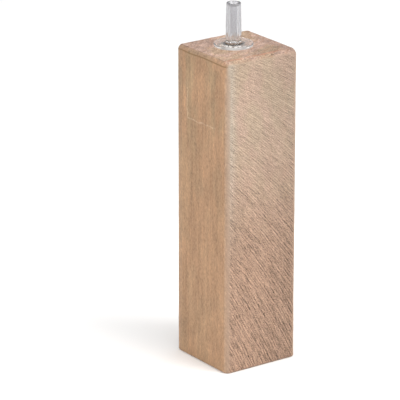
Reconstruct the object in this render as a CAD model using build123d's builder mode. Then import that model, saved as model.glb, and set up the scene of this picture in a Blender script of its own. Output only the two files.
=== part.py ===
from build123d import *

import os

# Limewood air stone: a drilled block of limewood with a clear hose connector glued into its top.
# Air from a pump enters at the nipple, runs down the connector into a blind bore, and leaves
# through the pores of the wood as fine bubbles.
#
# Millimetres. The origin is the centre of the block's base, +Z runs up the grain to the nipple,
# and +X and +Y are square to the block's sides.

# The block: sawn square, its long and top edges sanded round, its base edges barely broken
block_side = 25.0
block_height = 94.0
arris_radius = 1.5
base_arris_radius = 0.5

# The blind bore that holds the connector and carries the air, drilled a little off centre; its
# foot is the cone a twist drill leaves
bore_x = -0.55
bore_y = 0.95
bore_radius = 3.0
bore_foot = 11.5
drill_point_height = 1.8

# The connector: a nipple over a round flange over a ribbed stem, with one passage through all three
passage_radius = 1.05
mouth_radius = 1.45
mouth_depth = 0.9
nipple_radius = 2.25
nipple_tip_radius = 2.08
nipple_land_length = 4.5
nipple_height = 11.8
nipple_root_radius = 0.4
tip_edge_radius = 0.25
flange_radius = 5.75
flange_thickness = 0.8
flange_edge_radius = 0.3
stem_radius = 2.6
stem_length = 9.0
stem_lead_in = 0.5
rib_count = 4
rib_height = 0.3
rib_length = 1.1
rib_slope_length = 0.8
rib_pitch = 1.9
first_rib_rise = 1.1

# The adhesive: a film under the flange, and a sleeve between the stem and the bore
film_thickness = 0.15
film_radius = 4.7
sleeve_length = 7.6

# Heights that follow
flange_underside = block_height + film_thickness
flange_top = flange_underside + flange_thickness
nipple_land_bottom = flange_top + nipple_root_radius
nipple_land_top = nipple_land_bottom + nipple_land_length
nipple_tip = flange_top + nipple_height
stem_bottom = flange_underside - stem_length
first_rib = stem_bottom + stem_lead_in + first_rib_rise

# The bore's axis, and a plane through it whose x is the radius and whose y is the height
bore_axis = Axis((bore_x, bore_y, 0), (0, 0, 1))
turning_plane = Plane((bore_x, bore_y, 0), x_dir=(1, 0, 0), z_dir=(0, -1, 0))


def rib_outline(number):
    """The four corners of one stem rib: a slope that leads in from below, then a square shoulder."""
    bottom = first_rib + number * rib_pitch
    return [
        (stem_radius, bottom),
        (stem_radius + rib_height, bottom + rib_slope_length),
        (stem_radius + rib_height, bottom + rib_length),
        (stem_radius, bottom + rib_length),
    ]


# wood_block: the diffuser itself
with BuildPart() as wood_block:
    with BuildSketch():
        Rectangle(block_side, block_side)
    extrude(amount=block_height)
    upright_edges = wood_block.edges().filter_by(Axis.Z)
    top_edges = wood_block.faces().sort_by(Axis.Z)[-1].edges()
    fillet(upright_edges + top_edges, radius=arris_radius)
    fillet(wood_block.faces().sort_by(Axis.Z)[0].edges(), radius=base_arris_radius)
    with BuildSketch(turning_plane):
        with BuildLine():
            Polyline(
                (0, bore_foot - drill_point_height),
                (bore_radius, bore_foot),
                (bore_radius, block_height),
                (0, block_height),
                close=True,
            )
        make_face()
    revolve(axis=bore_axis, mode=Mode.SUBTRACT)

# hose_connector: one clear moulding, turned about the bore's axis
with BuildPart() as hose_connector:
    with BuildSketch(turning_plane):
        with BuildLine():
            stem_side = [(stem_radius, stem_bottom + stem_lead_in)]
            for number in range(rib_count):
                stem_side += rib_outline(number)
            stem_side += [(stem_radius, flange_underside)]
            flange_side = (flange_radius, flange_top - flange_edge_radius)
            flange_inner = (flange_radius - flange_edge_radius, flange_top)
            root = (nipple_radius + nipple_root_radius, flange_top)
            Polyline(
                (passage_radius, stem_bottom),
                (stem_radius - stem_lead_in, stem_bottom),
                *stem_side,
                (flange_radius, flange_underside),
                flange_side,
            )
            RadiusArc(flange_side, flange_inner, -flange_edge_radius)
            Line(flange_inner, root)
            RadiusArc(root, (nipple_radius, nipple_land_bottom), nipple_root_radius)
            tip_side = (nipple_tip_radius, nipple_tip - tip_edge_radius)
            tip_top = (nipple_tip_radius - tip_edge_radius, nipple_tip)
            Polyline((nipple_radius, nipple_land_bottom), (nipple_radius, nipple_land_top), tip_side)
            RadiusArc(tip_side, tip_top, -tip_edge_radius)
            Polyline(
                tip_top,
                (mouth_radius, nipple_tip),
                (passage_radius, nipple_tip - mouth_depth),
                (passage_radius, stem_bottom),
            )
        make_face()
    revolve(axis=bore_axis)

# adhesive: what holds the connector, filling from the bore wall to the stem and under the flange
with BuildPart() as adhesive:
    with BuildSketch(turning_plane):
        with BuildLine():
            Polyline(
                (stem_radius, block_height - sleeve_length),
                (bore_radius, block_height - sleeve_length),
                (bore_radius, block_height),
                (film_radius, block_height),
                (film_radius, flange_underside),
                (stem_radius, flange_underside),
                close=True,
            )
        make_face()
    revolve(axis=bore_axis)
    with BuildSketch(turning_plane):
        for number in range(rib_count):
            with BuildLine():
                Polyline(*rib_outline(number), close=True)
            make_face()
    revolve(axis=bore_axis, mode=Mode.SUBTRACT)

os.makedirs("parts", exist_ok=True)
wood_block.part.label = "wood_block"
export_step(wood_block.part, "parts/wood_block.step")
hose_connector.part.label = "hose_connector"
export_step(hose_connector.part, "parts/hose_connector.step")
adhesive.part.label = "adhesive"
export_step(adhesive.part, "parts/adhesive.step")
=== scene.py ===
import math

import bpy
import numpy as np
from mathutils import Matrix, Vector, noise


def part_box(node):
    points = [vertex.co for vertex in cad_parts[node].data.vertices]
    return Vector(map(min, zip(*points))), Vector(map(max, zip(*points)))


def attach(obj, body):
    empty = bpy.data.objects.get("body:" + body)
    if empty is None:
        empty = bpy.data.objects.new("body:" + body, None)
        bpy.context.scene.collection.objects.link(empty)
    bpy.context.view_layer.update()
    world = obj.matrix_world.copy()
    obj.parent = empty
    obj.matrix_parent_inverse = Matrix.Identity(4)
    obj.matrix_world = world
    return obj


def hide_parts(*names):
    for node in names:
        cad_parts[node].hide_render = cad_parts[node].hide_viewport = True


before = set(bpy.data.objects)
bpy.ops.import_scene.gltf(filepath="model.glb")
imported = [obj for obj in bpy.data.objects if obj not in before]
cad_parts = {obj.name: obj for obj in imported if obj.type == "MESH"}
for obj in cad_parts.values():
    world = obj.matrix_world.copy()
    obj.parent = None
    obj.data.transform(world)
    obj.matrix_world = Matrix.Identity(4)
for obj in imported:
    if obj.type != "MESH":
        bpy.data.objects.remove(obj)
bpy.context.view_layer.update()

# Looks for the limewood air stone: the wood block, the clear hose connector and its adhesive.
#
# Everything is in metres in the part's own frame: the block stands on z = 0 about the Z axis, its
# grain runs up Z, and the connector stands on its top. Shader patterns work in millimetres.

MM = 0.001

# The block, from its own CAD box
_, BLOCK_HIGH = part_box("wood_block")
HALF_SIDE = BLOCK_HIGH.x
BLOCK_TOP = BLOCK_HIGH.z
ARRIS = 1.6 * MM
BASE_ARRIS = 0.5 * MM
LEAST_CORNER = 0.15 * MM
# The top arris starts this far down; it is cut flat on the planed faces and round on the sawn ones
TOP_ARRIS = 1.3 * MM
FLAT_ARRIS_WIDTH = 0.7 * MM
FLAT_ARRIS_BEVEL = 0.8
ROUND_ARRIS_WIDTH = 1.8 * MM
ARRIS_WAVER = 0.35 * MM
BORE_RADIUS = 3.0 * MM
BORE_FOOT = 11.5 * MM
DRILL_POINT = 1.8 * MM

# How finely the block is divided
SIDE_STEPS = 73
TOP_ARRIS_STEPS = 7
BASE_ARRIS_STEPS = 4
BORE_STEPS = 8
STEP = 2 * HALF_SIDE / SIDE_STEPS

# The connector stands on the bore's axis, which its CAD box gives
CONNECTOR_LOW, CONNECTOR_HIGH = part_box("hose_connector")
AXIS_X = (CONNECTOR_LOW.x + CONNECTOR_HIGH.x) / 2
AXIS_Y = (CONNECTOR_LOW.y + CONNECTOR_HIGH.y) / 2
STEM_FOOT = CONNECTOR_LOW.z
NIPPLE_TIP = CONNECTOR_HIGH.z
FLANGE_RADIUS = (CONNECTOR_HIGH.x - CONNECTOR_LOW.x) / 2
FILM_THICKNESS = 0.15 * MM
FLANGE_THICKNESS = 0.8 * MM
FLANGE_BOTTOM = BLOCK_TOP + FILM_THICKNESS
FLANGE_TOP = FLANGE_BOTTOM + FLANGE_THICKNESS
FLANGE_TOP_EDGE = 0.3 * MM
FLANGE_BOTTOM_EDGE = 0.12 * MM
PASSAGE_RADIUS = 1.05 * MM
MOUTH_RADIUS = 1.5 * MM
MOUTH_EDGE = 0.12 * MM
MOUTH_DEPTH = 0.9 * MM
NIPPLE_RADIUS = 2.25 * MM
NIPPLE_ROOT = 0.4 * MM
TIP_RADIUS = 2.08 * MM
TIP_EDGE = 0.22 * MM
LAND_TOP = FLANGE_TOP + 4.9 * MM
STEM_RADIUS = 2.6 * MM
STEM_LEAD_IN = 0.5 * MM
STEM_COVE = 0.1 * MM
FIRST_RIB = STEM_FOOT + 1.6 * MM
RIB_COUNT = 4
RIB_PITCH = 1.9 * MM
RIB_HEIGHT = 0.3 * MM
RIB_SLOPE = 0.8 * MM
RIB_LENGTH = 1.1 * MM
TURN_STEPS = 160
# How near its corners an outline is given the extra points that keep its straight runs flat
SUPPORT = 0.02 * MM

# The adhesive fills up to this far from the wood and the flange, and bulges out past the film
SLEEVE_FOOT = BLOCK_TOP - 7.6 * MM
ADHESIVE_GAP = 0.01 * MM
BEAD_RADIUS = 4.55 * MM
BEAD_BULGE = 0.06 * MM

# The circular saw that cut two of the block's faces: its radius, the height of its centre, and
# how far the timber moved along between one tooth mark and the next
SAW_RADIUS = 200 * MM
SAW_HEIGHT = -85 * MM
SAW_FEED = 0.9 * MM

# How far the worked surface strays from the true block
WARP_DEPTH = 0.04 * MM
FRONT_SAW_DEPTH = 0.055 * MM
BACK_SAW_DEPTH = 0.05 * MM
PLANE_DEPTH = 0.016 * MM
END_DEPTH = 0.025 * MM
ARRIS_LOSS = 0.04 * MM
ARRIS_UNEVENNESS = 0.08 * MM
ARRIS_GRAIN = 0.04 * MM

# The wood's colours
PLANED_GOLD = (0.388, 0.234, 0.136, 1)
PLANED_KHAKI = (0.352, 0.237, 0.140, 1)
PLANED_PALE = (0.40, 0.285, 0.20, 1)
PLANED_ORANGE = (0.455, 0.265, 0.150, 1)
SAWN_PINK = (0.449, 0.321, 0.245, 1)
SAWN_CREAM = (0.428, 0.323, 0.236, 1)
SAWN_PALE = (0.452, 0.390, 0.320, 1)
SAWN_BROWN_AND_SHADE = (0.360, 0.232, 0.163, 1)
END_ROSE = (0.385, 0.265, 0.212, 1)
END_TAN = (0.345, 0.245, 0.172, 1)
SANDED_PALE = (0.43, 0.30, 0.215, 1)
RING_BROWN = (0.26, 0.13, 0.07, 1)
TORN_AND_SHADED_BROWN = (0.09, 0.055, 0.035, 1)
SOAKED_BROWN = (0.10, 0.06, 0.04, 1)
CREASE_BROWN = (0.20, 0.12, 0.055, 1)
STAIN_RED = (0.45, 0.19, 0.12, 1)
RUBBED_PALE = (0.62, 0.46, 0.33, 1)

# The block's top, in the shader patterns' millimetres
SHADER_TOP = 1000 * BLOCK_TOP
# The growth rings' centre, outside the block, and their width, in millimetres
PITH_X, PITH_Y = -34.0, 52.0
RING_WIDTH = 2.6
# Where a stain runs along the top, and where a rub mark turns on a planed face, in millimetres
STAIN_Y = -10.6
RUB_Y, RUB_Z = 6.9, 73.2

# The clear pieces' colours, roughness and refraction
PLASTIC_CLEAR = (0.97, 0.97, 0.97, 1)
PLASTIC_GREY = (0.62, 0.62, 0.64, 1)
PLASTIC_EDGE_SHADE = (0.30, 0.30, 0.32, 1)
PLASTIC_ROUGHNESS, PLASTIC_IOR = 0.06, 1.49
ADHESIVE_TINT = (0.96, 0.95, 0.93, 1)
ADHESIVE_ROUGHNESS, ADHESIVE_IOR = 0.15, 1.12

# The floor lies just below the block, and the camera looks to the left of the block's middle
FLOOR_HALF_SIDE = 6.0
FLOOR_DROP = 0.02 * MM
SURROUNDINGS_STRENGTH = 0.45
# The direction that the camera looks from, in degrees
CAMERA_AZIMUTH, CAMERA_ELEVATION = -35.37, 19.34
CAMERA_DISTANCE = 0.927
LEFT_OF_BLOCK = 10.55 * MM
ABOVE_MIDDLE = 0.48 * MM
# The lens and the sensor that it stands before, in millimetres
CAMERA_LENS, CAMERA_SENSOR = 288, 36


def wavy(point, scale, stretch=(1, 1, 1), seed=0.0):
    """Smooth noise, about -1 to 1, that varies over scale metres, drawn out by stretch."""
    x, y, z = (p / (scale * s) for p, s in zip(point, stretch))
    return noise.noise(Vector((x + seed, y - seed, z + 2 * seed)))


def smooth(low, high, value):
    """0 below low, 1 above high, and an even ramp with soft ends in between."""
    t = min(1.0, max(0.0, (value - low) / (high - low)))
    return t * t * (3 - 2 * t)


def saw_marks(x, z, seed):
    """How far out the sawn surface stands, about -1 to 1: arcs of a blade, torn unevenly."""
    across = x - math.sqrt(SAW_RADIUS**2 - (z - SAW_HEIGHT) ** 2)
    along = SAW_RADIUS * math.asin((z - SAW_HEIGHT) / SAW_RADIUS)
    drift = 0.3 * wavy((across, along, 0), 3 * MM, (1, 4, 1), seed)
    tooth = math.sin(2 * math.pi * (across / SAW_FEED + drift))
    pair = math.sin(math.pi * (across / SAW_FEED + drift))
    strength = 0.6 + 0.8 * wavy((across, along, 0), 2.5 * MM, (1, 2, 1), seed + 7)
    torn = wavy((across, along, 0), 0.45 * MM, (1, 4, 1), seed + 13)
    return 0.45 * tooth * strength + 0.2 * pair + 0.6 * torn


def surface_height(point, normal):
    """How far the worked wood stands out from the true block here, in metres."""
    x, _, z = point
    planed = smooth(0.7, 0.98, abs(normal[0]))
    front = smooth(0.7, 0.98, -normal[1])
    back = smooth(0.7, 0.98, normal[1])
    ends = smooth(0.7, 0.98, abs(normal[2]))
    arris = 1 - max(planed, front, back, ends)
    height = WARP_DEPTH * wavy(point, 14 * MM, (1, 1, 2.5))
    if front:
        deeper = 1 + 0.4 * smooth(70 * MM, 20 * MM, z)
        height += FRONT_SAW_DEPTH * front * deeper * saw_marks(x, z, seed=0.0)
    if back:
        height += BACK_SAW_DEPTH * back * saw_marks(-x, z, seed=31.0)
    if planed:
        height += PLANE_DEPTH * planed * wavy(point, 0.7 * MM, (1, 1, 16), seed=3.0)
    if ends:
        height += END_DEPTH * ends * wavy(point, 0.8 * MM, seed=5.0)
    if arris:
        height -= arris * (ARRIS_LOSS + ARRIS_UNEVENNESS * wavy(point, 5 * MM, seed=9.0))
        height += ARRIS_GRAIN * arris * wavy(point, 1.1 * MM, seed=11.0)
    return height


def soft_corner(x, y, flat_x, flat_y):
    """Moves a point of a square onto the same square with its corners rounded beyond the flats."""
    out_x, out_y = max(abs(x) - flat_x, 0.0), max(abs(y) - flat_y, 0.0)
    if not (out_x and out_y):
        return x, y
    pull = max(out_x, out_y) / math.hypot(out_x, out_y)
    return math.copysign(flat_x + out_x * pull, x), math.copysign(flat_y + out_y * pull, y)


def block_outline(inset_x, inset_y, z):
    """The block's outline at a height, pulled in by the insets: a point for each step round."""
    half_x, half_y = HALF_SIDE - inset_x, HALF_SIDE - inset_y
    corner = max(ARRIS - (inset_x + inset_y) / 2, LEAST_CORNER)
    points = []
    for dx, dy in ((1, 0), (0, 1), (-1, 0), (0, -1)):
        for i in range(SIDE_STEPS):
            t = 2 * i / SIDE_STEPS - 1
            x, y = (t * dx + dy) * half_x, (t * dy - dx) * half_y
            points.append((*soft_corner(x, y, half_x - corner, half_y - corner), z))
    return points


def block_levels():
    """(x inset, y inset, height) of each level of the block's sides, from the base to the top."""
    levels = []
    for i in range(BASE_ARRIS_STEPS):
        a = math.pi / 2 * i / BASE_ARRIS_STEPS
        inset = BASE_ARRIS * (1 - math.sin(a))
        levels.append((inset, inset, BASE_ARRIS * (1 - math.cos(a))))
    straight = BLOCK_TOP - BASE_ARRIS - TOP_ARRIS
    count = round(straight / STEP)
    levels += [(0.0, 0.0, BASE_ARRIS + straight * i / count) for i in range(count + 1)]
    for i in range(1, TOP_ARRIS_STEPS + 1):
        a = math.pi / 2 * i / TOP_ARRIS_STEPS
        rise, turn = math.sin(a), 1 - math.cos(a)
        flat = FLAT_ARRIS_WIDTH * (FLAT_ARRIS_BEVEL * rise + (1 - FLAT_ARRIS_BEVEL) * turn)
        levels.append((flat, ROUND_ARRIS_WIDTH * turn, BLOCK_TOP - TOP_ARRIS * (1 - rise)))
    return levels


class MeshBuilder:
    """The points and faces of a mesh, added ring by ring."""

    def __init__(self):
        self.points = []
        self.faces = []

    def ring(self, outline, last=None):
        """Adds a closed ring of points, joined by a band of quads to the last one, if there is one."""
        start, count = len(self.points), len(outline)
        self.points.extend(outline)
        ring = list(range(start, start + count))
        if last:
            for i in range(count):
                j = (i + 1) % count
                self.faces.append((last[i], last[j], ring[j], ring[i]))
        return ring


def build_sides(builder):
    """The four sides with the arrises above and below them: returns the lowest and highest rings."""
    first = last = None
    for level in block_levels():
        last = builder.ring(block_outline(*level), last)
        first = first or last
    return first, last


def build_top(builder, last):
    """The top, from the highest ring of the sides in to the bore's mouth: returns the mouth's ring."""
    edge = [builder.points[i] for i in last]
    mouth = []
    for x, y, z in edge:
        a = math.atan2(y - AXIS_Y, x - AXIS_X)
        mouth.append((AXIS_X + BORE_RADIUS * math.cos(a), AXIS_Y + BORE_RADIUS * math.sin(a), z))
    count = round((HALF_SIDE - BORE_RADIUS) / STEP)
    for i in range(1, count + 1):
        t = i / count
        outline = [
            tuple(a + (b - a) * t for a, b in zip(outer, inner))
            for outer, inner in zip(edge, mouth)
        ]
        last = builder.ring(outline, last)
    return last


def build_bore(builder, last):
    """The bore, from its mouth down to the cone that its drill left."""
    mouth = [builder.points[i] for i in last]
    for i in range(1, BORE_STEPS + 1):
        z = BLOCK_TOP + (BORE_FOOT - BLOCK_TOP) * i / BORE_STEPS
        last = builder.ring([(x, y, z) for x, y, _ in mouth], last)
    tip = len(builder.points)
    builder.points.append((AXIS_X, AXIS_Y, BORE_FOOT - DRILL_POINT))
    builder.faces.extend((last[i], last[(i + 1) % len(last)], tip) for i in range(len(last)))


def build_base(builder, edge):
    """The base: a square grid whose edge is the lowest ring of the sides."""
    half = HALF_SIDE - BASE_ARRIS
    flat = HALF_SIDE - max(ARRIS, BASE_ARRIS + LEAST_CORNER)
    grid = {}
    for side, (dx, dy) in enumerate(((1, 0), (0, 1), (-1, 0), (0, -1))):
        for i in range(SIDE_STEPS):
            t = 2 * i - SIDE_STEPS
            column, row = t * dx + SIDE_STEPS * dy, t * dy - SIDE_STEPS * dx
            place = (column + SIDE_STEPS) // 2, (row + SIDE_STEPS) // 2
            grid[place] = edge[side * SIDE_STEPS + i]
    for column in range(1, SIDE_STEPS):
        for row in range(1, SIDE_STEPS):
            x = half * (2 * column / SIDE_STEPS - 1)
            y = half * (2 * row / SIDE_STEPS - 1)
            grid[column, row] = len(builder.points)
            builder.points.append((*soft_corner(x, y, flat, flat), 0.0))
    for i in range(SIDE_STEPS):
        for j in range(SIDE_STEPS):
            corners = ((i, j), (i, j + 1), (i + 1, j + 1), (i + 1, j))
            builder.faces.append(tuple(grid[corner] for corner in corners))


def arris_waver(point):
    """How far the hand-cut top arris strays up or down here, in metres."""
    x, y, z = point
    above = smooth(BLOCK_TOP - 4 * MM, BLOCK_TOP - TOP_ARRIS, z)
    below = smooth(BLOCK_TOP, BLOCK_TOP - 0.4 * MM, z)
    return ARRIS_WAVER * above * below * wavy((x, y, 0), 5 * MM, seed=17.0)


def crease(point):
    """1 where the flat arris meets a planed face, less where it meets the top, 0 elsewhere."""
    x, _, z = point
    if abs(z - (BLOCK_TOP - TOP_ARRIS)) < 0.1 * MM:
        return smooth(HALF_SIDE - 0.8 * MM, HALF_SIDE - 0.1 * MM, abs(x))
    if abs(z - BLOCK_TOP) < 0.05 * MM and abs(HALF_SIDE - FLAT_ARRIS_WIDTH - abs(x)) < 0.1 * MM:
        return 0.45
    return 0.0


def make_block():
    """The wood block as one piece, its surface worked as saw, plane and sandpaper leave it."""
    builder = MeshBuilder()
    base_edge, top_edge = build_sides(builder)
    mouth = build_top(builder, top_edge)
    bore_start = len(builder.points)
    build_bore(builder, mouth)
    bore = range(bore_start, len(builder.points))
    build_base(builder, base_edge)

    mesh = bpy.data.meshes.new("limewood_block")
    mesh.from_pydata(builder.points, [], builder.faces)
    mesh.update()
    normals = [tuple(vertex.normal) for vertex in mesh.vertices]
    names = ("sawn", "end_grain", "sanded", "creased")
    masks = {name: np.zeros(len(normals), np.float32) for name in names}
    for i, (point, normal) in enumerate(zip(builder.points, normals)):
        masks["sawn"][i] = smooth(0.35, 0.95, abs(normal[1]))
        masks["end_grain"][i] = smooth(0.3, 0.85, abs(normal[2]))
        masks["sanded"][i] = smooth(1.0, 0.93, max(abs(n) for n in normal))
        if i in bore:
            continue
        masks["creased"][i] = crease(point)
        height = surface_height(point, normal)
        # Nothing stands below the base
        if point[2] < 0.2 * MM:
            height = min(height, 0.0)
        mesh.vertices[i].co = Vector(point) + Vector(normal) * height
        mesh.vertices[i].co.z += arris_waver(point)
    for name, values in masks.items():
        mesh.attributes.new(name, "FLOAT", "POINT").data.foreach_set("value", values)
    mesh.shade_smooth()
    block = bpy.data.objects.new("limewood_block", mesh)
    bpy.context.scene.collection.objects.link(block)
    return block


def arc(centre_r, centre_z, radius, start, end, steps):
    """Points of an arc in a turned outline, from one angle to another in degrees."""
    turns = [math.radians(start + (end - start) * i / steps) for i in range(steps + 1)]
    return [(centre_r + radius * math.cos(a), centre_z + radius * math.sin(a)) for a in turns]


def supported(outline):
    """The closed outline with a point just inside each end of its straight runs, to shade flat."""
    points = []
    for here, there in zip(outline, outline[1:] + outline[:1]):
        points.append(here)
        length = math.dist(here, there)
        if length > 10 * SUPPORT:
            for t in (SUPPORT / length, 1 - SUPPORT / length):
                points.append(tuple(a + (b - a) * t for a, b in zip(here, there)))
    return points


def turned(name, outline):
    """A closed piece turned about the bore's axis from a clockwise outline of (radius, height)."""
    builder = MeshBuilder()
    outline = supported(outline)
    first = last = None
    for k in range(TURN_STEPS):
        a = 2 * math.pi * k / TURN_STEPS
        turned_outline = [(AXIS_X + r * math.cos(a), AXIS_Y + r * math.sin(a), z) for r, z in outline]
        last = builder.ring(turned_outline, last)
        first = first or last
    for i in range(len(first)):
        j = (i + 1) % len(first)
        builder.faces.append((last[i], last[j], first[j], first[i]))
    mesh = bpy.data.meshes.new(name)
    mesh.from_pydata(builder.points, [], builder.faces)
    mesh.shade_smooth()
    mesh.update()
    piece = bpy.data.objects.new(name, mesh)
    bpy.context.scene.collection.objects.link(piece)
    return piece


def stem_ribs(gap=0.0):
    """The stem's ribs in outline, from the lowest up: a slope, then a square shoulder.

    A gap moves the line out and up, for what lies round the ribs."""
    crest = STEM_RADIUS + RIB_HEIGHT
    points = []
    for k in range(RIB_COUNT):
        foot = FIRST_RIB + k * RIB_PITCH
        points += [(STEM_RADIUS, foot), (crest, foot + RIB_SLOPE)]
        points += [(crest, foot + RIB_LENGTH - SUPPORT), (STEM_RADIUS, foot + RIB_LENGTH)]
    return [(r + gap, z + gap) for r, z in points]


def make_connector():
    """The clear moulding: nipple, flange and ribbed stem, with the air passage through them."""
    outline = [(PASSAGE_RADIUS, STEM_FOOT)]
    outline += arc(STEM_RADIUS - STEM_LEAD_IN, STEM_FOOT + STEM_LEAD_IN, STEM_LEAD_IN, -90, 0, 5)
    outline += stem_ribs()
    outline += [(STEM_RADIUS, FLANGE_BOTTOM - STEM_COVE), (STEM_RADIUS + STEM_COVE, FLANGE_BOTTOM)]
    edge = FLANGE_BOTTOM_EDGE
    outline += arc(FLANGE_RADIUS - edge, FLANGE_BOTTOM + edge, edge, -90, 0, 4)
    edge = FLANGE_TOP_EDGE
    outline += arc(FLANGE_RADIUS - edge, FLANGE_TOP - edge, edge, 0, 80, 8)
    outline += arc(NIPPLE_RADIUS + NIPPLE_ROOT, FLANGE_TOP + NIPPLE_ROOT, NIPPLE_ROOT, 270, 180, 8)
    outline += [(NIPPLE_RADIUS, LAND_TOP)]
    outline += arc(TIP_RADIUS - TIP_EDGE, NIPPLE_TIP - TIP_EDGE, TIP_EDGE, 0, 90, 6)
    outline += arc(MOUTH_RADIUS + MOUTH_EDGE, NIPPLE_TIP - MOUTH_EDGE, MOUTH_EDGE, 90, 170, 4)
    outline += [(PASSAGE_RADIUS, NIPPLE_TIP - MOUTH_DEPTH)]
    return turned("clear_hose_connector", outline[::-1])


def make_adhesive():
    """The clear adhesive: a film with an uneven edge under the flange, a sleeve in the bore."""
    top = FLANGE_BOTTOM - ADHESIVE_GAP
    outer = BORE_RADIUS - ADHESIVE_GAP
    inner = STEM_RADIUS + 2 * ADHESIVE_GAP
    outline = [(outer, SLEEVE_FOOT), (outer, BLOCK_TOP + 0.02 * MM)]
    outline += [(BEAD_RADIUS, BLOCK_TOP + 0.04 * MM)]
    outline += [(BEAD_RADIUS + BEAD_BULGE, BLOCK_TOP + 0.09 * MM), (BEAD_RADIUS, top)]
    outline += [(inner + STEM_COVE, top), (inner, top - STEM_COVE)]
    outline += stem_ribs(2 * ADHESIVE_GAP)[::-1] + [(inner, SLEEVE_FOOT)]
    piece = turned("clear_adhesive", outline[::-1])
    for v in piece.data.vertices:
        x, y = v.co.x - AXIS_X, v.co.y - AXIS_Y
        if math.hypot(x, y) > 4 * MM:
            a = math.atan2(y, x)
            lobes = 0.5 * math.sin(9 * a + 1.3) + 0.3 * math.sin(5 * a) + 0.3 * math.sin(14 * a + 2)
            grow = 1 + 0.06 * lobes
            v.co.x = AXIS_X + x * grow
            v.co.y = AXIS_Y + y * grow
    return piece


class Shader:
    """A material's node tree, built by calls that return sockets."""

    def __init__(self, name):
        self.material = bpy.data.materials.new(name)
        self.material.use_nodes = True
        self.tree = self.material.node_tree
        self.tree.nodes.clear()

    def fill(self, socket, value):
        """Links an output to the socket, or sets a constant on it."""
        if isinstance(value, bpy.types.NodeSocket):
            self.tree.links.new(value, socket)
        else:
            socket.default_value = value

    def node(self, kind, inputs=None, **settings):
        """Adds a node, sets it up, and fills its inputs, which are given by name or number."""
        made = self.tree.nodes.new(kind)
        for key, value in settings.items():
            setattr(made, key, value)
        for key, value in (inputs or {}).items():
            self.fill(made.inputs[key], value)
        return made

    def finish(self, skin):
        """Gives the material the shader's first output as its surface."""
        self.node("ShaderNodeOutputMaterial", {"Surface": skin.outputs[0]})
        return self.material

    def object_place(self):
        """The place in the part's frame, in metres."""
        return self.node("ShaderNodeTexCoord").outputs["Object"]

    def split(self, vector):
        return self.node("ShaderNodeSeparateXYZ", {0: vector}).outputs

    def combine(self, x, y, z):
        return self.node("ShaderNodeCombineXYZ", {0: x, 1: y, 2: z}).outputs[0]

    def math(self, operation, a, b=0.0):
        return self.node("ShaderNodeMath", {0: a, 1: b}, operation=operation).outputs[0]

    def product(self, *factors):
        result = factors[0]
        for factor in factors[1:]:
            result = self.math("MULTIPLY", result, factor)
        return result

    def total(self, *terms):
        result = terms[0]
        for term in terms[1:]:
            result = self.math("ADD", result, term)
        return result

    def distance(self, across, ahead):
        return self.math("SQRT", self.total(self.product(across, across), self.product(ahead, ahead)))

    def noise(self, vector, scale, detail=2.0, roughness=0.5):
        inputs = {"Vector": vector, "Scale": scale, "Detail": detail, "Roughness": roughness}
        return self.node("ShaderNodeTexNoise", inputs).outputs["Fac"]

    def centred(self, pattern, weight):
        """A pattern that averages 0.5, moved to average 0 and then weighted."""
        return self.product(self.math("SUBTRACT", pattern, 0.5), weight)

    def ramp(self, value, low, high, to_low=0.0, to_high=1.0):
        """Maps low..high onto to_low..to_high, with soft ends."""
        inputs = {"Value": value, "From Min": low, "From Max": high}
        inputs.update({"To Min": to_low, "To Max": to_high})
        made = self.node("ShaderNodeMapRange", inputs, interpolation_type="SMOOTHSTEP")
        return made.outputs["Result"]

    def mix(self, factor, a, b, blend="MIX"):
        """Colours a and b mixed, or blended, by factor."""
        made = self.node("ShaderNodeMix", data_type="RGBA", blend_type=blend)
        for number, value in ((0, factor), (6, a), (7, b)):
            self.fill(made.inputs[number], value)
        return made.outputs[2]

    def shade(self, colour, *tones):
        """The colour darkened or lightened by the product of the tones."""
        tone = self.product(*tones)
        return self.mix(1.0, colour, self.combine(tone, tone, tone), "MULTIPLY")


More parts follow.
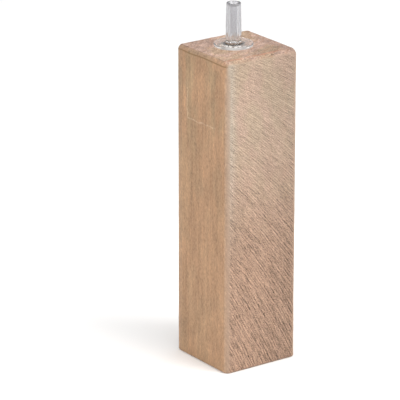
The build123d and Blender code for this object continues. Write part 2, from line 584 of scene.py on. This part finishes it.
class WoodShader(Shader):
    """The wood's node tree, with the places, masks and patterns that its layers share."""

    def __init__(self, name):
        super().__init__(name)
        metres = self.object_place()
        scaled = self.node("ShaderNodeVectorMath", {0: metres, 3: 1000.0}, operation="SCALE")
        self.place = scaled.outputs[0]
        self.x, self.y, self.z = self.split(self.place)

        # What each part of the surface is, as the block's mesh says
        self.sawn = self.mask("sawn")
        self.end_grain = self.mask("end_grain")
        self.sanded = self.mask("sanded")
        self.creased = self.mask("creased")

        # Patterns in the solid wood
        self.patch = self.noise(self.squeezed(0.5), 0.16)
        self.streak = self.noise(self.squeezed(0.04), 1.1, 5.0, 0.62)
        self.mottle = self.noise(self.squeezed(0.3), 0.9, 3.0, 0.7)
        self.fleck = self.noise(self.squeezed(0.4), 2.4, 2.0, 0.7)

        # Patterns that the saw left
        self.across, self.along = self.saw_space()
        self.torn = self.along_cut(0.3, 0.6, 2.0, 0.5)
        self.line = self.along_cut(0.07, 2.5, 1.0, 0.6)
        self.dash = self.along_cut(0.25, 2.7, 0.0, 0.5)

        # The ragged distance from the bore's axis, and the way from it to the block's front arris
        from_x = self.math("SUBTRACT", self.x, 1000 * AXIS_X)
        from_y = self.math("SUBTRACT", self.y, 1000 * AXIS_Y)
        ragged = self.centred(self.noise(self.place, 1.3, 2.0, 0.6), 2.0)
        self.from_bore = self.total(self.distance(from_x, from_y), ragged)
        self.forward = self.product(self.total(from_x, from_y), -0.7)

        # A dark line runs in the creases beside the flat arris; stains and rubs waver as they run
        self.dark_crease = self.product(self.creased, self.ramp(self.fleck, 0.35, 0.6, 0.45, 1.0))
        self.waver = self.centred(self.noise(self.place, 0.4), 1.2)

    def mask(self, name):
        return self.node("ShaderNodeAttribute", attribute_name=name).outputs["Fac"]

    def squeezed(self, amount):
        """The place squeezed along Z, for patterns that run up the grain."""
        return self.combine(self.x, self.y, self.product(self.z, amount))

    def saw_space(self):
        """Places that run across the saw's arcs and along them, in millimetres."""
        radius = 1000 * SAW_RADIUS
        rise = self.math("SUBTRACT", self.z, 1000 * SAW_HEIGHT)
        reach = self.math("SQRT", self.math("SUBTRACT", radius**2, self.product(rise, rise)))
        turned_x = self.product(self.x, self.product(self.math("SIGN", self.y), -1.0))
        across = self.math("SUBTRACT", turned_x, reach)
        along = self.product(self.math("ARCSINE", self.math("DIVIDE", rise, radius)), radius)
        return across, along

    def along_cut(self, stretch, scale, detail, roughness):
        """Noise drawn out along the saw's arcs, and different on the front and back faces."""
        side = self.math("SIGN", self.y)
        vector = self.combine(self.across, self.product(self.along, stretch), side)
        return self.noise(vector, scale, detail, roughness)


def planed_colour(s):
    """Gold, duller in patches and up high, paler by the back edge and more orange by the front."""
    broad = s.noise(s.squeezed(0.35), 0.2)
    dulled = s.product(s.ramp(broad, 0.4, 0.6), s.ramp(s.z, 50.0, 85.0, 0.35, 1.0))
    colour = s.mix(dulled, PLANED_GOLD, PLANED_KHAKI)
    colour = s.shade(colour, s.ramp(s.patch, 0.38, 0.62, 0.93, 1.08))
    colour = s.mix(s.ramp(s.y, 8.5, 12.0, 0.0, 0.5), colour, PLANED_PALE)
    return s.mix(s.ramp(s.y, -8.0, -12.0, 0.0, 0.35), colour, PLANED_ORANGE)


def sawn_colour_with_painted_shade(s):
    """Pink and cream in patches, browner low down (partly painted shade), paler by one edge, and
    darker by the other as painted shade.
    """
    colour = s.mix(s.ramp(s.patch, 0.4, 0.6), SAWN_PINK, SAWN_CREAM)
    colour = s.mix(s.ramp(s.x, -8.0, -12.0, 0.0, 0.75), colour, SAWN_PALE)
    # Browner and darker low down: partly the wood's colour, partly painted shade
    colour = s.mix(s.ramp(s.z, 78.0, 26.0), colour, SAWN_BROWN_AND_SHADE)
    # Painted shade: darker towards the far edge
    return s.shade(colour, s.ramp(s.x, -6.0, 12.0, 1.0, 0.84))


def end_colour_with_painted_light(s):
    """Rose and tan in patches, with painted shade by the side corners and painted light by the front
    one.
    """
    colour = s.mix(s.ramp(s.patch, 0.42, 0.58), END_ROSE, END_TAN)
    # Painted light and shade: the top is darker towards the side corners and lighter towards the front
    # corner
    corner_to_corner = s.math("SUBTRACT", s.y, s.x)
    painted_shading_one_side = s.ramp(corner_to_corner, -22.0, 0.0, 0.84, 1.08)
    painted_shading_other_side = s.ramp(corner_to_corner, 4.0, 24.0, 1.0, 0.86)
    painted_light_to_front = s.ramp(s.total(s.x, s.y), -8.0, -17.0, 1.0, 1.1)
    return s.shade(colour, painted_shading_one_side, painted_shading_other_side, painted_light_to_front)


def with_sanding(s, colour):
    """The sanded arrises are paler, but for the ones round the top."""
    pale = s.product(s.sanded, s.ramp(s.z, SHADER_TOP - 2.0, SHADER_TOP - 6.0, 0.1, 0.6))
    return s.mix(pale, colour, SANDED_PALE)


def with_rings(s, colour):
    """The rings show as thin lines on the end grain, and hardly at all along the grain."""
    bend = s.centred(s.noise(s.squeezed(0.06), 0.08), 9.0)
    from_pith = s.distance(s.math("SUBTRACT", s.x, PITH_X), s.math("SUBTRACT", s.y, PITH_Y))
    rings = s.math("DIVIDE", s.total(from_pith, bend), RING_WIDTH)
    ring_line = s.ramp(s.math("FRACT", rings), 0.5, 1.0)
    depth = s.product(s.ramp(s.end_grain, 0.0, 1.0, 0.08, 0.5), s.ramp(s.mottle, 0.35, 0.6))
    return s.mix(s.product(ring_line, depth), colour, RING_BROWN)


def with_grain(s, colour):
    """Along the grain: fibres, and flecks a millimetre or so long, faint on the sawn faces."""
    grain = s.total(s.centred(s.streak, 0.6), s.centred(s.mottle, 0.75), s.centred(s.fleck, 1.15))
    grain = s.product(grain, s.ramp(s.sawn, 0.0, 1.0, 1.0, 0.15))
    return s.shade(colour, s.total(1.0, grain))


def with_pores(s, colour):
    """Across the end grain: pores, in patches."""
    fine = s.centred(s.noise(s.place, 2.0, 2.0, 0.7), 2.5)
    broad = s.centred(s.noise(s.place, 0.35), 1.0)
    return s.shade(colour, s.total(1.0, s.product(s.total(fine, broad), s.end_grain)))


def with_torn_and_shaded_mouth(s, colour):
    """The drill left the bore's mouth torn, and it is darkened partly as torn wood and partly as
    painted shade of its rim.
    """
    on_top = s.ramp(s.z, SHADER_TOP - 1.0, SHADER_TOP - 0.4)
    # Partly torn wood, partly painted shade in the rim of the mouth
    return s.mix(s.product(s.ramp(s.from_bore, 3.7, 3.2, 0.0, 0.8), on_top), colour, TORN_AND_SHADED_BROWN)


def with_soaking(s, colour):
    """The adhesive soaked in, in dark patches, where it ran towards the front arris."""
    near = s.product(s.ramp(s.from_bore, 5.1, 4.6), s.ramp(s.forward, 0.0, 1.5))
    patches = s.ramp(s.noise(s.place, 1.1, 1.0), 0.48, 0.56)
    on_top = s.ramp(s.z, SHADER_TOP - 1.0, SHADER_TOP - 0.4, 0.0, 0.75)
    return s.mix(s.product(near, patches, on_top), colour, SOAKED_BROWN)


def with_saw_marks(s, colour):
    """The saw's marks are deeper low down, where the timber was fed faster."""
    unsanded = s.math("SUBTRACT", 1.0, s.product(s.sanded, 0.8))
    depth = s.product(s.ramp(s.z, 70.0, 25.0, 0.8, 1.22), unsanded)
    kerf = s.total(s.math("DIVIDE", s.across, 1000 * SAW_FEED), s.product(s.torn, 1.2))
    ridge = s.math("SINE", s.product(kerf, 2 * math.pi))
    ridges = s.product(ridge, s.ramp(s.torn, 0.35, 0.65, 0.05, 0.2))
    grit = s.centred(s.noise(s.place, 3.2, 0.0), 1.3)
    marks = s.total(s.centred(s.line, 1.1), s.centred(s.dash, 0.7), grit, ridges)
    return s.mix(s.sawn, colour, s.shade(colour, s.total(1.0, s.product(marks, depth))))


def with_dark_crease(s, colour):
    """A dark line runs in the creases beside the flat arris."""
    return s.mix(s.dark_crease, colour, CREASE_BROWN)


def with_stain(s, colour):
    """A red stain runs along the top, beside the round front arris."""
    off_line = s.math("ABSOLUTE", s.total(s.math("SUBTRACT", s.y, STAIN_Y), s.waver))
    on_top = s.ramp(s.z, SHADER_TOP - 1.2, SHADER_TOP - 0.4, 0.0, 0.5)
    stain = s.product(s.ramp(off_line, 0.7, 0.2), on_top, s.ramp(s.patch, 0.45, 0.55))
    return s.mix(stain, colour, STAIN_RED)


def with_rub(s, colour):
    """A faint rub crosses one planed face and runs up beside its edge."""
    off_z = s.math("SUBTRACT", s.total(s.z, s.waver), RUB_Z)
    off_y = s.math("SUBTRACT", s.total(s.y, s.waver), RUB_Y)
    across_face = s.product(s.ramp(s.math("ABSOLUTE", off_z), 0.3, 0.1), s.ramp(s.y, 7.0, 6.4))
    across_face = s.product(across_face, s.ramp(s.y, -7.5, -5.5))
    up_face = s.product(s.ramp(s.math("ABSOLUTE", off_y), 0.3, 0.1), s.ramp(off_z, -0.2, 0.2))
    up_face = s.product(up_face, s.ramp(off_z, 12.0, 9.0))
    rub = s.product(s.math("MAXIMUM", across_face, up_face), s.ramp(s.x, -11.5, -12.0, 0.0, 0.5))
    return s.mix(s.product(rub, s.ramp(s.fleck, 0.35, 0.55)), colour, RUBBED_PALE)


def wood_bump(s):
    """Fine relief: saw lines on the sawn faces, and fibres and sunken creases on the others."""
    cut = s.total(s.product(s.line, 0.2), s.product(s.dash, 0.2))
    fibres = s.total(s.product(s.streak, 0.04), s.product(s.fleck, 0.06))
    smoothed = s.math("SUBTRACT", fibres, s.product(s.dark_crease, 0.06))
    height = s.node("ShaderNodeMix", {0: s.sawn, 2: smoothed, 3: cut}).outputs[0]
    return s.node("ShaderNodeBump", {"Strength": 0.8, "Distance": MM, "Height": height}).outputs[0]


def wood_material():
    """Limewood: rings and fibres through the solid, and the marks that each tool left on it."""
    s = WoodShader("limewood")
    colour = s.mix(s.sawn, planed_colour(s), sawn_colour_with_painted_shade(s))
    colour = s.mix(s.end_grain, colour, end_colour_with_painted_light(s))
    for layer in (with_sanding, with_rings, with_grain, with_pores, with_torn_and_shaded_mouth, with_soaking):
        colour = layer(s, colour)
    for layer in (with_saw_marks, with_dark_crease, with_stain, with_rub):
        colour = layer(s, colour)
    inputs = {"Base Color": colour, "Roughness": s.ramp(s.mottle, 0.3, 0.7, 0.62, 0.78)}
    inputs.update({"Normal": wood_bump(s), "Specular IOR Level": 0.3})
    return s.finish(s.node("ShaderNodeBsdfPrincipled", inputs))


def clear_material(s, colour, cloud, roughness, ior):
    """A clear or slightly cloudy moulding: glass that lets the lamps through to what is under it."""
    inputs = {"Base Color": colour, "Roughness": roughness, "IOR": ior}
    inputs["Transmission Weight"] = s.math("SUBTRACT", 1.0, cloud)
    glass = s.node("ShaderNodeBsdfPrincipled", inputs)
    through = s.node("ShaderNodeBsdfTransparent", {"Color": colour})
    shadow = s.node("ShaderNodeLightPath").outputs["Is Shadow Ray"]
    inputs = {0: shadow, 1: glass.outputs[0], 2: through.outputs[0]}
    return s.finish(s.node("ShaderNodeMixShader", inputs))


def from_axis(s):
    """Millimetres from the bore's axis, above the flange, and towards the block's front arris."""
    x, y, z = s.split(s.object_place())
    x, y = s.math("SUBTRACT", x, AXIS_X), s.math("SUBTRACT", y, AXIS_Y)
    radius = s.product(s.distance(x, y), 1000.0)
    height = s.product(s.math("SUBTRACT", z, FLANGE_TOP), 1000.0)
    return radius, height, s.product(s.total(x, y), -700.0)


def plastic_material():
    """Clear in the flange, and grey and a little cloudy up the nipple and round the flange's rim."""
    s = Shader("clear_plastic")
    radius, height, forward = from_axis(s)
    # The nipple is greyest at its edges, partly because they are the thickest to look through and
    # partly as painted shade for the dark surroundings they refract
    facing = s.node("ShaderNodeLayerWeight", {"Blend": 0.5}).outputs["Facing"]
    nipple = s.mix(s.ramp(facing, 0.3, 0.7), PLASTIC_GREY, PLASTIC_EDGE_SHADE)
    colour = s.mix(s.ramp(height, 0.2, 3.5), PLASTIC_CLEAR, nipple)
    rim = s.ramp(radius, 5.5, 5.65, 0.01, s.ramp(forward, 0.0, 5.0, 0.22, 0.32))
    cloud = s.math("MAXIMUM", s.ramp(height, 0.6, 4.0, 0.01, 0.30), rim)
    return clear_material(s, colour, cloud, PLASTIC_ROUGHNESS, PLASTIC_IOR)


def adhesive_material():
    """Clear, but for milky bubbles in the bead that it squeezed out towards the front arris."""
    s = Shader("clear_adhesive")
    radius, _, forward = from_axis(s)
    bubbles = s.ramp(s.noise(s.object_place(), 1300.0, 0.0), 0.5, 0.6, 0.03, 0.5)
    bead = s.product(s.ramp(radius, 2.9, 3.3), s.ramp(forward, 1.0, 3.0))
    cloud = s.total(0.01, s.product(bead, bubbles))
    return clear_material(s, ADHESIVE_TINT, cloud, ADHESIVE_ROUGHNESS, ADHESIVE_IOR)


def grey(level):
    return (level, level, level, 1.0)


def make_floor():
    """A plain pale floor, far wider than any view needs."""
    far = FLOOR_HALF_SIDE
    mesh = bpy.data.meshes.new("floor")
    corners = [(-far, -far, 0), (far, -far, 0), (far, far, 0), (-far, far, 0)]
    mesh.from_pydata(corners, [], [(0, 1, 2, 3)])
    floor = bpy.data.objects.new("floor", mesh)
    bpy.context.scene.collection.objects.link(floor)
    s = Shader("pale_floor")
    skin = s.node("ShaderNodeBsdfPrincipled", {"Base Color": grey(0.96), "Roughness": 0.9})
    mesh.materials.append(s.finish(skin))
    floor.location.z = -FLOOR_DROP


def aim(thing, place, target):
    """Puts a lamp or camera at place, pointed at target."""
    thing.location = place
    thing.rotation_euler = (Vector(target) - Vector(place)).to_track_quat("-Z", "Y").to_euler()
    bpy.context.scene.collection.objects.link(thing)


def make_light(name, azimuth, elevation, distance, width, watts, colour):
    """A square soft light, placed round the block by the direction it shines from."""
    lamp = bpy.data.lights.new(name, "AREA")
    lamp.shape = "SQUARE"
    lamp.size = width
    lamp.energy = watts
    lamp.color = colour
    a, e = math.radians(azimuth), math.radians(elevation)
    direction = Vector((math.sin(a) * math.cos(e), -math.cos(a) * math.cos(e), math.sin(e)))
    middle = Vector((0, 0, BLOCK_TOP / 2))
    aim(bpy.data.objects.new(name, lamp), middle + direction * distance, middle)


def make_studio():
    """Soft white surroundings, a broad light on each side in front, and one overhead."""
    world = bpy.data.worlds.new("studio")
    world.use_nodes = True
    background = world.node_tree.nodes["Background"]
    background.inputs["Color"].default_value = grey(1.0)
    background.inputs["Strength"].default_value = SURROUNDINGS_STRENGTH
    bpy.context.scene.world = world
    make_light("overhead", 0, 82, 1.1, 0.9, 7.4, (1, 1, 1))
    make_light("right_softbox", 25, 40, 0.8, 0.5, 4.1, (1, 0.99, 0.97))
    make_light("left_softbox", -95, 25, 0.9, 0.5, 2.9, (1, 0.97, 0.93))


def make_camera():
    """A long lens that looks down on the block's front arris, with the block right of middle."""
    azimuth, elevation = math.radians(CAMERA_AZIMUTH), math.radians(CAMERA_ELEVATION)
    level = math.cos(elevation)
    across, ahead = math.sin(azimuth) * level, -math.cos(azimuth) * level
    back = Vector((across, ahead, math.sin(elevation)))
    right = Vector((math.cos(azimuth), math.sin(azimuth), 0))
    up = back.cross(right)
    target = Vector((0, 0, BLOCK_TOP / 2)) - right * LEFT_OF_BLOCK + up * ABOVE_MIDDLE
    lens = bpy.data.cameras.new("camera")
    lens.lens = CAMERA_LENS
    lens.sensor_width = CAMERA_SENSOR
    lens.clip_start = 0.01
    lens.clip_end = 50
    camera = bpy.data.objects.new("camera", lens)
    aim(camera, target + back * CAMERA_DISTANCE, target)
    bpy.context.scene.camera = camera


block = make_block()
block.data.materials.append(wood_material())
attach(block, "root")
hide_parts("wood_block")

connector = make_connector()
connector.data.materials.append(plastic_material())
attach(connector, "root")
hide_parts("hose_connector")

adhesive = make_adhesive()
adhesive.data.materials.append(adhesive_material())
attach(adhesive, "root")
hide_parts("adhesive")

make_floor()
make_studio()
make_camera()
bpy.context.scene.view_settings.view_transform = "Standard"
